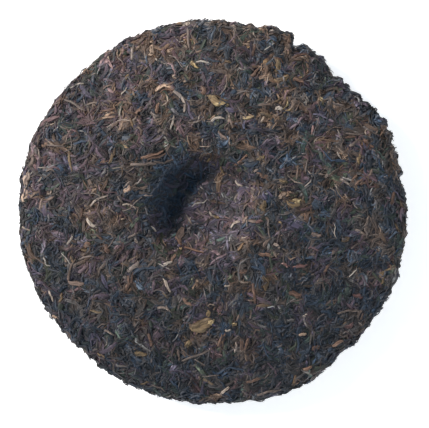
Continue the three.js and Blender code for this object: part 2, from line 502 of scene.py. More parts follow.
skin = {  # what all kinds of leaf share
    "columns": 24,  # the leaf map has this many columns, from the darkest tone to the palest
    "margin": 0.04,  # what is left free at each side of a column
    "cool": (0.68, 0.97, 1.25),  # tints at the map's bottom and at its top
    "warm": (1.38, 1.0, 0.68),
    "patches": (0.12, 16.0, 2.0),  # of each noise: how fast it changes round a leaf, its scale and its detail
    "streaks": (1.3, 5.0, 3.0),
    "grains": (0.12, 110.0, 2.0),
    "patchiness": 1.1,
    "paleSoftness": 0.2,
    "roughness": (0.4, 0.3),  # the least, and how much more there may be
    "gloss": 0.4,
    "bump": 0.8,
    "bumpHeight": 0.2 * mm,
    "seedStep": 50.0,  # how far apart the noises of two kinds lie
}


def makeLeafSkin():
    # Every leaf wears a stretch of one column of the map: U runs round it and V along it. The tone is the
    # column's, with patches, and goes from dark over middle to pale. Streaks and grain change how bright it
    # is, and it is warmer higher up on the map.
    group = bpy.data.node_groups.new("leafSkin", "ShaderNodeTree")
    colour, number = "NodeSocketColor", "NodeSocketFloat"
    taken = {"Dark": colour, "Middle": colour, "Pale": colour}
    taken |= {"Pale Share": number, "Streaks": number, "Tints": number, "Seed": number}
    for name, kind in taken.items():
        group.interface.new_socket(name, in_out="INPUT", socket_type=kind)
    for name, kind in {"Colour": colour, "Roughness": number, "Height": number}.items():
        group.interface.new_socket(name, in_out="OUTPUT", socket_type=kind)
    given = addNode(group, "NodeGroupInput").outputs
    sheet = addNode(group, "ShaderNodeUVMap", uv_map="OFBake").outputs[0]
    axes = addNode(group, "ShaderNodeSeparateXYZ", {0: sheet}).outputs
    scaled = calc(group, "MULTIPLY", axes[0], skin["columns"])
    column = calc(group, "FLOOR", scaled)
    across = calc(group, "FRACT", scaled)
    layer = calc(group, "ADD", column, given["Seed"])

    def noise(kind):
        pace, scale, detail = skin[kind]
        place = {0: calc(group, "MULTIPLY", across, pace), 1: axes[1], 2: layer}
        vector = addNode(group, "ShaderNodeCombineXYZ", place).outputs[0]
        inputs = {"Vector": vector, "Scale": scale, "Detail": detail}
        return addNode(group, "ShaderNodeTexNoise", inputs).outputs[0]

    patches, streaks, grains = noise("patches"), noise("streaks"), noise("grains")
    uneven = calc(group, "SUBTRACT", patches, 0.5)
    plain = calc(group, "DIVIDE", column, skin["columns"] - 1)
    tone = calc(group, "MULTIPLY_ADD", uneven, skin["patchiness"], plain)
    share = calc(group, "MULTIPLY", tone, 1.25)  # a tone of 0.8 has the middle colour
    body = blendColours(group, share, given["Dark"], given["Middle"])
    limit = calc(group, "SUBTRACT", 1.0, given["Pale Share"])
    most = calc(group, "ADD", limit, skin["paleSoftness"])
    palest = addNode(group, "ShaderNodeMapRange", {0: tone, 1: limit, 2: most})
    body = blendColours(group, palest.outputs[0], body, given["Pale"])
    lined = calc(group, "MULTIPLY", calc(group, "SUBTRACT", streaks, 0.5), given["Streaks"])
    grainy = calc(group, "SUBTRACT", grains, 0.5)
    value = calc(group, "ADD", calc(group, "ADD", lined, grainy), 1.0)
    warmth = blendColours(group, axes[1], (*skin["cool"], 1), (*skin["warm"], 1))
    tinted = blendColours(group, given["Tints"], body, warmth, "MULTIPLY")
    shaded = addNode(group, "ShaderNodeHueSaturation", {"Value": value, "Color": tinted}).outputs[0]
    least, more = skin["roughness"]
    rough = calc(group, "MULTIPLY_ADD", grains, more, least)
    height = calc(group, "MULTIPLY_ADD", streaks, 0.8, calc(group, "MULTIPLY", grains, 0.4))
    addNode(group, "NodeGroupOutput", {"Colour": shaded, "Roughness": rough, "Height": height})
    return group


leafSkin = makeLeafSkin()


def makeLeafMaterial(name, look, seed):  # the shared skin with the kind's own colours
    material, tree, shader = newMaterial(name, Specular_IOR_Level=skin["gloss"])
    inputs = {socket: paint(*look[socket.lower()]) for socket in ("Dark", "Middle", "Pale")}
    inputs |= {"Pale Share": look["paleShare"], "Streaks": look["streaks"]}
    inputs |= {"Tints": look["tints"], "Seed": seed}
    worn = addNode(tree, "ShaderNodeGroup", node_tree=leafSkin)
    for socket, value in inputs.items():
        worn.inputs[socket].default_value = value
    raised = {"Height": worn.outputs["Height"], "Strength": skin["bump"], "Distance": skin["bumpHeight"]}
    bump = addNode(tree, "ShaderNodeBump", raised)
    tree.links.new(worn.outputs["Colour"], shader.inputs["Base Color"])
    tree.links.new(worn.outputs["Roughness"], shader.inputs["Roughness"])
    tree.links.new(bump.outputs[0], shader.inputs["Normal"])
    return material


# Leaves: a small section carried along a bent line that lies on the cake
leafSections = {  # across and up, in half widths and half thicknesses, from the left edge over the top
    "rolled": [(-1, -0.2), (-0.5, 0.95), (0.1, 0.3), (0.6, 1), (1, -0.3)],
    "folded": [(-1, -0.3), (-0.62, 0.8), (-0.15, 0.3), (0.3, 1), (0.68, 0.35), (1, -0.3)],
    "round": [(-1, 0), (0, 1), (1, 0), (0, -1)],
    "chip": [(-1, -0.2), (-0.25, 1), (1, 0.1), (0, -0.9)],
}
leafStations = {  # along the leaf from -1 to 1, and the share of its full width there
    "whole": ([-1, -0.8, -0.42, 0, 0.42, 0.8, 1], [0, 0.55, 0.95, 1, 0.9, 0.55, 0]),
    "broken": ([-1, -0.9, -0.45, 0, 0.45, 0.9, 1], [0, 0.85, 1, 0.95, 0.95, 0.65, 0]),
    "bud": ([-1, -0.93, -0.6, -0.1, 0.4, 0.8, 1], [0, 0.5, 0.95, 1, 0.75, 0.35, 0]),
    "chip": ([-1, -0.8, 0.1, 0.85, 1], [0, 0.8, 1, 0.7, 0]),
}


def stretchAt(at, onFront, heading, apart=1 * mm, least=0.8):
    # A short line's length on the cake against its length on the flat sheet, never much less than 1.
    half = byAngle(apart / 2, heading)
    ends = surfaceAt(at + half, onFront)[0] - surfaceAt(at - half, onFront)[0]
    return np.maximum(least, np.linalg.norm(ends, axis=-1) / apart)


def sweepLeaves(name, material, rng, laid, kind):
    # Each leaf's line is its middle, plus along times its direction, plus a bend that grows as along squared.
    # Round each station lie the section's points, rolled about the line and raised along the normal.
    along, share = (np.array(part, float) for part in leafStations[kind["ends"]])
    shape = np.array(leafSections[kind["section"]])
    count, stations, sides = len(laid["at"]), len(along), len(shape)
    own = {name: values[:, None] for name, values in laid.items()}
    half = own["length"] / 2
    run = half * along
    sway = own["bend"] * half * (along**2 - 0.3)
    sway += own["sway"] * half * np.sin(np.pi * along + own["phase"])
    sway += rng.normal(0, kind["crumple"], (count, stations)) * own["width"]
    forth = run / stretchAt(own["at"], own["onFront"], own["heading"])
    swung = sway / stretchAt(own["at"], own["onFront"], own["heading"] + np.pi / 2)
    c, s = np.cos(own["heading"]), np.sin(own["heading"])
    flat = own["at"] + np.stack([forth * c - swung * s, forth * s + swung * c], -1)
    place, normal = surfaceAt(flat, own["onFront"])
    line = np.gradient(place, axis=1)
    line /= np.linalg.norm(line, axis=-1, keepdims=True)
    side = np.cross(normal, line)
    side /= np.linalg.norm(side, axis=-1, keepdims=True)
    wobble = 1 + rng.normal(0, kind["crumple"] * 1.5, (count, stations, sides, 2))
    across = shape[:, 0] * (own["width"] / 2 * share)[..., None] * wobble[..., 0]
    up = shape[:, 1] * (own["thick"] / 2 * np.sqrt(share))[..., None] * wobble[..., 1]
    roll = (own["roll"] + own["twist"] * along)[..., None]
    aside = across * np.cos(roll) - up * np.sin(roll)
    above = across * np.sin(roll) + up * np.cos(roll)
    above += (own["tilt"] * run - own["dip"] * np.abs(along) ** 2.5)[..., None]
    above += (laid["top"] - above.max((1, 2)))[:, None, None]
    rings = place[:, :, None] + side[:, :, None] * aside[..., None] + normal[:, :, None] * above[..., None]
    return leafMesh(name, material, rings, laid, along, kind["smooth"])


def leafMesh(name, material, rings, laid, along, smooth):
    # The first and last ring shrink to tips. Quads join neighbouring rings, and fans of triangles the tips.
    # On the map, U is the share of the column and V runs along the leaf.
    tips = rings[:, [0, -1]].mean(2)
    rings = rings[:, 1:-1]
    count, ringCount, sides = rings.shape[:3]
    last, pole = (ringCount - 1) * sides, ringCount * sides
    points = np.concatenate([rings.reshape(count, -1, 3), tips], 1).reshape(-1, 3)
    ring, step = (np.roll(part, -1, 1) for part in ringCorners(ringCount, sides))
    quads = ring * sides + step % sides
    fans = np.vstack([fan(pole, 0, sides), fan(pole + 1, last, sides)[:, ::-1]])
    first = np.arange(sides)[:, None]
    fanU = np.vstack([first + [0.5, 0, 1], first + [1, 0, 0.5]])
    fanV = np.array([[0, 1, 1]] * sides + [[ringCount, ringCount, ringCount + 1]] * sides)
    faces = []
    maps = []
    own = {name: values[:, None, None] for name, values in laid.items()}
    for corners, u, v in ((quads, step, ring + 1), (fans, fanU, fanV)):
        faces.append((corners + np.arange(count)[:, None, None] * (pole + 2)).reshape(-1, corners.shape[1]))
        placeU = (own["column"] + skin["margin"] + (1 - 2 * skin["margin"]) * u / sides) / skin["columns"]
        placeV = own["mapStart"] + own["mapRun"] * (along[v] + 1) / 2
        maps.append(np.stack([placeU, placeV], -1).reshape(-1, 2))
    return newMesh(name, points, faces, material, np.concatenate(maps), smooth)


def slowWave(at, seed, length):  # waves of about that length
    return sumWaves(at, makeWaves(seed, 12, (0.7 * length, 1.5 * length)))


spread = {  # how the leaves lie all over the cake
    "frontShare": 0.45,  # leaves to an area on the front, against the back
    "frontFrom": 8 * mm,  # past the rim
    "frontGrowth": 1.35,  # the front shows larger leaves
    "frontSunk": 0.05,  # mm under the surface, so that the cake rests on its flat spot
    "heading": 50,  # degrees, the most usual direction
    "headingWave": (0.7, 24 * mm),  # of each wave: how much it changes, and its length
    "hugsFrom": 84 * mm,  # leaves turn to follow the edge from here
    "hugs": 0.55,
    "hugsLoosely": 0.35,  # radians off the edge's direction
    "patches": 2.9,  # how much the kinds keep to patches of their own, against chance
    "patchLengths": (8 * mm, 28 * mm),
    "lengths": (0.35, 2.3),  # the least and the most, against the kind's own
    "widths": (0.28, 0.5, 1.9),  # how uneven, then the least and the most
    "thicknesses": (0.2, 0.6, 1.5),
    "tilts": (0.05, 0.04, 0.1),  # usually, how much less in the dimple and how much more at the rim
    "rimLift": 0.4,  # mm, at most
    "dimpleSink": 0.25 * mm,
    "dips": (0.1, 0.5),  # mm by which the ends bend down
    "tone": 0.42,
    "toneUneven": 0.19,
    "toneWave": (0.22, 9 * mm),
    "paintedLightSlope": (0.05, 0.17),  # painted light: how much paler towards +X and towards +Y, for the brighter lit upper side
    # painted light: how much paler the leaves in the dimple are, standing for its brightly lit floor
    "dimplePaintedLight": 0.3,
    "warmth": 0.49,
    "warmthUneven": 0.06,
    "warmWave": (0.32, 12 * mm),
    "warmSlope": (-0.08, 0.22),
    "byHue": 8,  # how much warmer regions suit the brown kinds, and cooler ones the blue and green kinds
    "mapHeight": 0.78,  # leaves begin below this on the map
    "mapRun": (0.16, 0.22),  # the shortest and longest stretch of it that a leaf wears
    "regions": [  # millimetres to the right and up, and across; then how much paler, warmer and pinker
        (-45, 76, 24, 0.15, 0, 2.5), (-92, 24, 20, 0.28, 0, 3.5), (-52, 50, 10, 0.12, 0.3, 0),
        (-62, 48, 25, 0, 0, 2), (-30, 86, 10, 0.05, 0.2, 1), (-12, 90, 9, 0.15, -0.1, 0),
        (-24, 63, 7, 0.1, 0.12, 0), (1, 60, 7, 0.05, 0.12, -1), (38, 53, 10, 0.13, 0.33, -1),
        (32, 75, 8, 0.05, 0.2, -1.5), (12, 66, 8, -0.1, -0.2, -1), (58, 64, 11, -0.12, -0.2, 0),
        (40, 35, 9, -0.1, -0.25, -1), (14, 27, 9, -0.03, -0.12, -1), (66, 24, 17, 0.05, 0.12, 2),
        (76, 36, 8, 0.05, 0.15, 0), (88, 10, 12, -0.12, -0.2, -1), (42, 5, 6, 0.08, 0.25, 0),
        (42, -9, 8, -0.05, -0.15, 0), (62, -11, 9, -0.08, -0.25, 0), (-68, 32, 12, -0.15, -0.2, 0),
        (-42, 18, 12, -0.15, -0.08, -1.5), (-62, 0, 12, 0.08, 0.25, 0), (-58, -17, 9, 0, 0.25, 0),
        (-88, -8, 11, 0, -0.15, 1.5), (-80, -28, 9, 0, -0.12, 0), (-24, -22, 10, 0.15, 0.15, 0.5),
        (1, -10, 13, 0.02, -0.05, 4), (30, -16, 8, 0, 0.15, 0), (20, -40, 9, 0.08, 0.18, -1.5),
        (-5, -57, 8, 0.1, 0.2, 0), (12, -69, 10, 0.03, 0.18, 0), (-12, -70, 8, 0.03, 0.12, 0),
        (-40, -50, 13, -0.12, 0, -1.5), (-75, -56, 12, -0.03, -0.3, 0), (-30, -89, 18, -0.08, -0.25, -1),
        (12, -88, 10, -0.08, -0.05, 0), (42, -67, 16, -0.15, -0.12, -1.5), (70, -42, 15, -0.15, -0.15, 0),
        (70, -62, 10, 0, 0.08, 0), (91, -30, 8, 0.15, 0.15, 0), (-12, 68, 6, -0.05, -0.2, 0),
        (-5, 52, 6, -0.05, -0.2, 0), (-66, 64, 9, 0, -0.25, 0), (10, -18, 6, -0.12, 0, 0),
        (-79, 12, 8, -0.1, -0.2, 0), (52, 6, 6, 0.05, 0.18, 0), (49, -36, 8, -0.1, -0.2, 0),
        (0, 78, 16, -0.07, 0, -0.5),
    ],
}
lip = {  # the dimple's steep wall and its lip, where the lip's shadow falls: leaves there are painted darker and cooler, a painted shadow
    "at": 23 * mm,  # from the dimple's middle
    "reach": (17 * mm, 27 * mm),  # half sizes across and along
    # the tone that leaves in the painted shadow are drawn towards, and by what share
    "tone": 0.43,
    "share": 0.85,
}
backLine, backRun = section[sectionRun < rimRun], sectionRun[sectionRun < rimRun]


def onSheet(x, y):
    # Where on the flat sheet lies a place that the camera sees x and y millimetres from the middle. Nearer
    # places look larger, so its distance from the camera's line is scaled by its depth under the camera.
    seen = np.stack([x, y], -1) * mm + view["cakeSeenAt"]
    height = np.interp(np.hypot(*seen.T), *backLine.T) - dimpleDepth(*seen.T)
    aim, aimHeight = np.array(view["lookedAt"][:2]), view["lookedAt"][2]
    place = aim + (seen - aim) * (1 - (height - aimHeight) / cameraHeight)[:, None] + middle[:2]
    turn, distance = np.arctan2(*place.T[::-1]), np.hypot(*place.T)
    distance -= rise(distance, edge["startsAt"], cake["radius"]) * edgeOut(turn)
    return byAngle(np.interp(distance, backLine[:, 0], backRun), turn)


def regionsAt(at, onFront):
    # Three sums over the regions: exp(-(distance / reach)^2) times how much paler, warmer and pinker.
    x, y, reach, *more = np.array(spread["regions"], float).T
    apart = np.linalg.norm(at[:, None] - onSheet(x, y), axis=-1)
    return np.array(more) @ np.exp(-((apart / (reach * mm)) ** 2)).T * ~onFront


def evenSpots(rng, count):
    # A golden-angle spiral over the whole surface, evened by area, with each spot shifted at random.
    runs = np.linspace(0, wholeRun, 2000)
    radius = np.interp(runs, sectionRun, section[:, 0])
    filled = np.cumsum(radius * np.where(runs > rimRun + spread["frontFrom"], spread["frontShare"], 1))
    shares = (np.arange(count) + rng.uniform(0, 1, count)) / count
    angle = np.arange(count) * np.pi * (3 - math.sqrt(5)) + rng.uniform(0, 2 * np.pi)
    angle += rng.normal(0, 0.02, count)
    return sheetAt(np.interp(shares, filled / filled[-1], runs), angle)


def inLipShade(at, onFront):
    # 1 on the steep wall of the dimple, falling to 0 at an ellipse round the wall and its lip: the patch
    # where the lip's shadow falls and is painted into the leaves.
    parts = fromSteep(*(at - dimple["middle"] - lip["at"] * steepWay).T)
    apart = np.hypot(*(part / reach for part, reach in zip(parts, lip["reach"])))
    return ~onFront * (1 - rise(apart, 0.3, 1))


def inDimple(at, onFront):  # 1 where the dimple is deep, 0 where it is shallow
    return ~onFront * rise(dimpleDepth(*at.T), 2 * mm, 8 * mm)


def nearRim(at, low, high):  # 0 on the faces, 1 round the edge, between two distances from the rim
    return rise(np.hypot(*at.T), rimRun - low, rimRun - high)


def liking(rng, kind, at, onFront):
    # How well spots suit a kind: the sum of its patches, of what it likes at each spot, and of chance.
    likes = dict.fromkeys(("often", "warm", "pink", "north", "west", "dimple", "lip", "edge"), 0)
    likes |= kind["likes"]
    patches = sumWaves(at, makeWaves(kind["field"], 16, spread["patchLengths"]))
    score = likes["often"] + spread["patches"] * patches + rng.gumbel(0, 1, len(at))
    paler, warmer, pinker = regionsAt(at, onFront)
    score += spread["byHue"] * likes["warm"] * warmer + likes["pink"] * pinker
    score += likes["north"] * at[:, 1] / cake["radius"] - likes["west"] * at[:, 0] / cake["radius"]
    score += likes["dimple"] * inDimple(at, onFront)
    # painted shadow: dark kinds gather where the lip's shadow falls, and pale kinds keep out of it
    score += likes["lip"] * inLipShade(at, onFront)
    if "slope" in likes:
        steepness = np.clip(stretchAt(at, onFront, steepTurn) - 1, 0, 1.5)
        score += likes["slope"] * steepness * inLipShade(at, onFront)
    return score + likes["edge"] * nearRim(at, 9 * mm, 2 * mm) * ragged(np.arctan2(at[:, 1], at[:, 0]))


def shareOut(rng, count, kinds):
    # Several kinds share all the spots: each goes to the kind that it suits best. One alone takes the best.
    at, onFront = evenSpots(rng, int(count * kinds[0].get("choice", 1)))
    scores = np.array([liking(rng, kind, at, onFront) for kind in kinds])
    if len(kinds) == 1:
        best = np.sort(np.argsort(-scores[0])[:count])
        return [(at[best], onFront[best])]
    winner = scores.argmax(0)
    return [(at[winner == number], onFront[winner == number]) for number in range(len(kinds))]


def headingsAt(at, rng, loose):
    # The usual direction plus a slow wave; near the edge it turns to follow the edge.
    swing, length = spread["headingWave"]
    heading = math.radians(spread["heading"]) + swing * slowWave(at, 71, length)
    heading += rng.normal(0, loose, len(at))
    around = np.arctan2(at[:, 1], at[:, 0]) + np.pi / 2 + rng.normal(0, spread["hugsLoosely"], len(at))
    hugs = rise(np.hypot(*at.T), spread["hugsFrom"], rimRun) * spread["hugs"]
    return np.angle((1 - hugs) * np.exp(2j * heading) + hugs * np.exp(2j * around)) / 2


def unevenly(rng, count, uneven, least, most):  # lognormal factors round 1, held between two limits
    return np.clip(rng.lognormal(0, uneven, count), least, most)


def scatter(rng, kind, at, onFront):
    # Sizes, bends and tones are drawn round the kind's own. Tone and warmth also follow slow waves, the
    # regions and a slope over the whole cake.
    # The tone's slope and its rise in the dimple are painted light, and leaves where the lip's shadow falls
    # are painted darker and cooler.
    count = len(at)
    rim = nearRim(at, 12 * mm, 3 * mm)
    flatter, lipShaded = inDimple(at, onFront), inLipShade(at, onFront)
    top = rng.uniform(*kind["top"], count) * mm
    top = np.where(onFront, top - (kind["top"][1] + spread["frontSunk"]) * mm * (1 - rim), top)
    top += rim * rng.uniform(0, spread["rimLift"], count) * mm
    top -= spread["dimpleSink"] * flatter
    growth = np.where(onFront, spread["frontGrowth"], 1.0)
    length = unevenly(rng, count, kind["uneven"], *spread["lengths"])
    paler, warmer, _ = regionsAt(at, onFront)
    wave, waveLength = spread["toneWave"]
    tone = kind.get("tone", spread["tone"]) + rng.normal(0, spread["toneUneven"], count)
    tone += wave * slowWave(at, 33, waveLength)
    # painted light: paler towards the upper side, as if it caught more light
    tone += at @ spread["paintedLightSlope"] / cake["radius"]
    # painted light in the dimple, then the regions' own paleness
    tone += spread["dimplePaintedLight"] * flatter + paler
    # painted shadow: where the lip's shadow falls, leaves are drawn towards one dark tone
    tone += lip["share"] * lipShaded * (lip["tone"] - tone)
    wave, waveLength = spread["warmWave"]
    warm = spread["warmth"] + wave * slowWave(at, 44, waveLength) + at @ spread["warmSlope"] / cake["radius"]
    # the painted shadow at the lip is also made cooler
    warm += warmer - lipShaded
    tilt, less, more = spread["tilts"]
    tilt = rng.normal(0, tilt - less * flatter + more * rim, count)
    return {
        "at": at,
        "onFront": onFront,
        "heading": headingsAt(at, rng, kind["loose"]),
        "length": kind["length"] * mm * length * growth,
        "width": kind["width"] * mm * unevenly(rng, count, *spread["widths"]) * growth,
        "thick": kind["thick"] * mm * unevenly(rng, count, *spread["thicknesses"]),
        "bend": rng.normal(0, kind["bend"], count),
        "sway": rng.normal(0, kind["bend"] * 0.4, count),
        "phase": rng.uniform(0, 2 * np.pi, count),
        "roll": rng.normal(0, kind["roll"], count),
        "twist": rng.normal(0, kind["twist"], count),
        "tilt": tilt + kind.get("sticksUp", 0) * rim * rng.uniform(0.5, 1.5, count),
        "dip": rng.uniform(*spread["dips"], count) * mm,
        "top": top,
        "column": np.floor(np.clip(tone, 0, 0.999) * skin["columns"]).astype(int),
        "mapStart": spread["mapHeight"] * np.clip(warm + rng.normal(0, spread["warmthUneven"], count), 0, 1),
        "mapRun": rng.uniform(*spread["mapRun"], count),
    }


# Three plain forms of leaf, in millimetres, and five families of colour, which the kinds below share
broadLeaf = {
    "length": 9.5, "width": 2.1, "thick": 0.7, "uneven": 0.4, "bend": 0.32, "roll": 0.12, "twist": 0.25,
    "top": (-0.5, 0.1), "loose": 0.8, "section": "folded", "ends": "whole", "crumple": 0.13, "smooth": True,
    "paleShare": 0.1, "streaks": 3.4, "tints": 0.78,
}
rolledLeaf = {
    "length": 7.0, "width": 1.3, "thick": 0.7, "uneven": 0.42, "bend": 0.45, "roll": 0.3, "twist": 0.45,
    "top": (-0.4, 0.25), "loose": 0.8, "section": "rolled", "ends": "broken", "crumple": 0.14, "smooth": True,
    "paleShare": 0.12, "streaks": 2.6, "tints": 0.78,
}
chip = {
    "length": 4.6, "width": 0.85, "thick": 0.55, "uneven": 0.4, "bend": 0.35, "roll": 0.4, "twist": 0.4,
    "top": (-0.35, 0.3), "loose": 1.0, "section": "chip", "ends": "chip", "crumple": 0.17, "smooth": False,
    "paleShare": 0.12, "streaks": 1.6, "tints": 0.78,
}
inky = {"dark": (25, 31, 38), "middle": (56, 67, 80), "pale": (96, 108, 122), "field": 201}
bottle = {"dark": (27, 34, 32), "middle": (62, 72, 62), "pale": (106, 116, 100), "field": 202}
plum = {"dark": (41, 34, 40), "middle": (90, 76, 87), "pale": (136, 122, 131), "field": 203}
brown = {"dark": (43, 37, 35), "middle": (94, 82, 75), "pale": (142, 130, 119), "field": 204}
dark = {"dark": (28, 31, 36), "middle": (66, 66, 71), "pale": (116, 115, 118), "field": 201}
layers = [  # how many, and the kinds that share them by what each likes
    # what a kind likes at the dimple's lip puts dark kinds into its painted shadow and keeps pale ones out
    (5400, {
        "inkyLeaves": {**broadLeaf, **inky, "likes": {"north": -0.8, "often": 0.2, "lip": 9, "warm": -1}},
        "bottleLeaves": {
            **broadLeaf, **bottle, "ends": "broken",
            "likes": {"north": -0.4, "often": -0.3, "lip": 6, "warm": -0.7},
        },
        "plumLeaves": {**broadLeaf, **plum, "likes": {"dimple": 5, "west": 1, "pink": 1}},
        "brownLeaves": {
            **broadLeaf, **brown, "ends": "broken", "likes": {"north": 0.8, "often": -0.1, "warm": 1},
        },
    }),
    (5800, {
        "inkyCurls": {**rolledLeaf, **inky, "likes": {"north": -0.6, "often": 0.2, "lip": 9, "warm": -1}},
        "plumCurls": {**rolledLeaf, **plum, "likes": {"dimple": 5, "west": 1, "often": 0.2, "pink": 1}},
        "brownCurls": {
            **rolledLeaf, **brown, "ends": "broken", "likes": {"north": 0.8, "often": 0.2, "warm": 1},
        },
    }),
    (8600, {
        "darkChips": {**chip, **dark, "likes": {"often": 0.5, "lip": 7, "warm": -1}},
        "brownChips": {**chip, **brown, "likes": {"north": 0.4, "warm": 1}},
    }),
    (160, {
        "wallLeaves": {
            **rolledLeaf, **inky, "choice": 120, "likes": {"slope": 12, "lip": 3}, "length": 6,
            # paler than the inky kind; drawn towards the lip's painted shadow, these colours set how dark
            # that painted shadow shows
            "top": (-0.3, 0.2), "paleShare": 0, "streaks": 2, "dark": (36, 42, 48), "middle": (74, 84, 95),
        },
    }),
    (1500, {
        "edgeChips": {
            **chip, **dark, "choice": 7, "likes": {"edge": 8}, "length": 3.4, "loose": 2.0,
            "top": (0.1, 1.0), "sticksUp": 0.45,
        },
    }),
    (520, {
        "thinStems": {
            **rolledLeaf, "choice": 1.5, "likes": {"north": 0.5, "lip": -12}, "field": 204,
            "section": "round", "length": 7.5, "width": 0.7, "thick": 0.6, "uneven": 0.4, "bend": 0.3,
            "twist": 0.3, "crumple": 0.07, "top": (-0.3, 0.4), "loose": 1.1, "tone": 0.45, "paleShare": 0.25,
            "streaks": 1.6, "tints": 0.5,
            "dark": (64, 57, 56), "middle": (114, 104, 100), "pale": (170, 162, 152),
        },
    }),
    (120, {
        "goldenTips": {
            **rolledLeaf, "choice": 3, "likes": {"north": 0.5, "lip": -12}, "field": 204, "ends": "bud",
            "length": 5.5, "width": 1.5, "thick": 0.9, "uneven": 0.3, "bend": 0.12, "twist": 0.2,
            "crumple": 0.1, "top": (-0.2, 0.35), "loose": 1.1, "tone": 0.4, "paleShare": 0.2, "streaks": 1.8,
            "tints": 0.4, "dark": (80, 64, 52), "middle": (128, 104, 78), "pale": (172, 148, 112),
        },
    }),
]
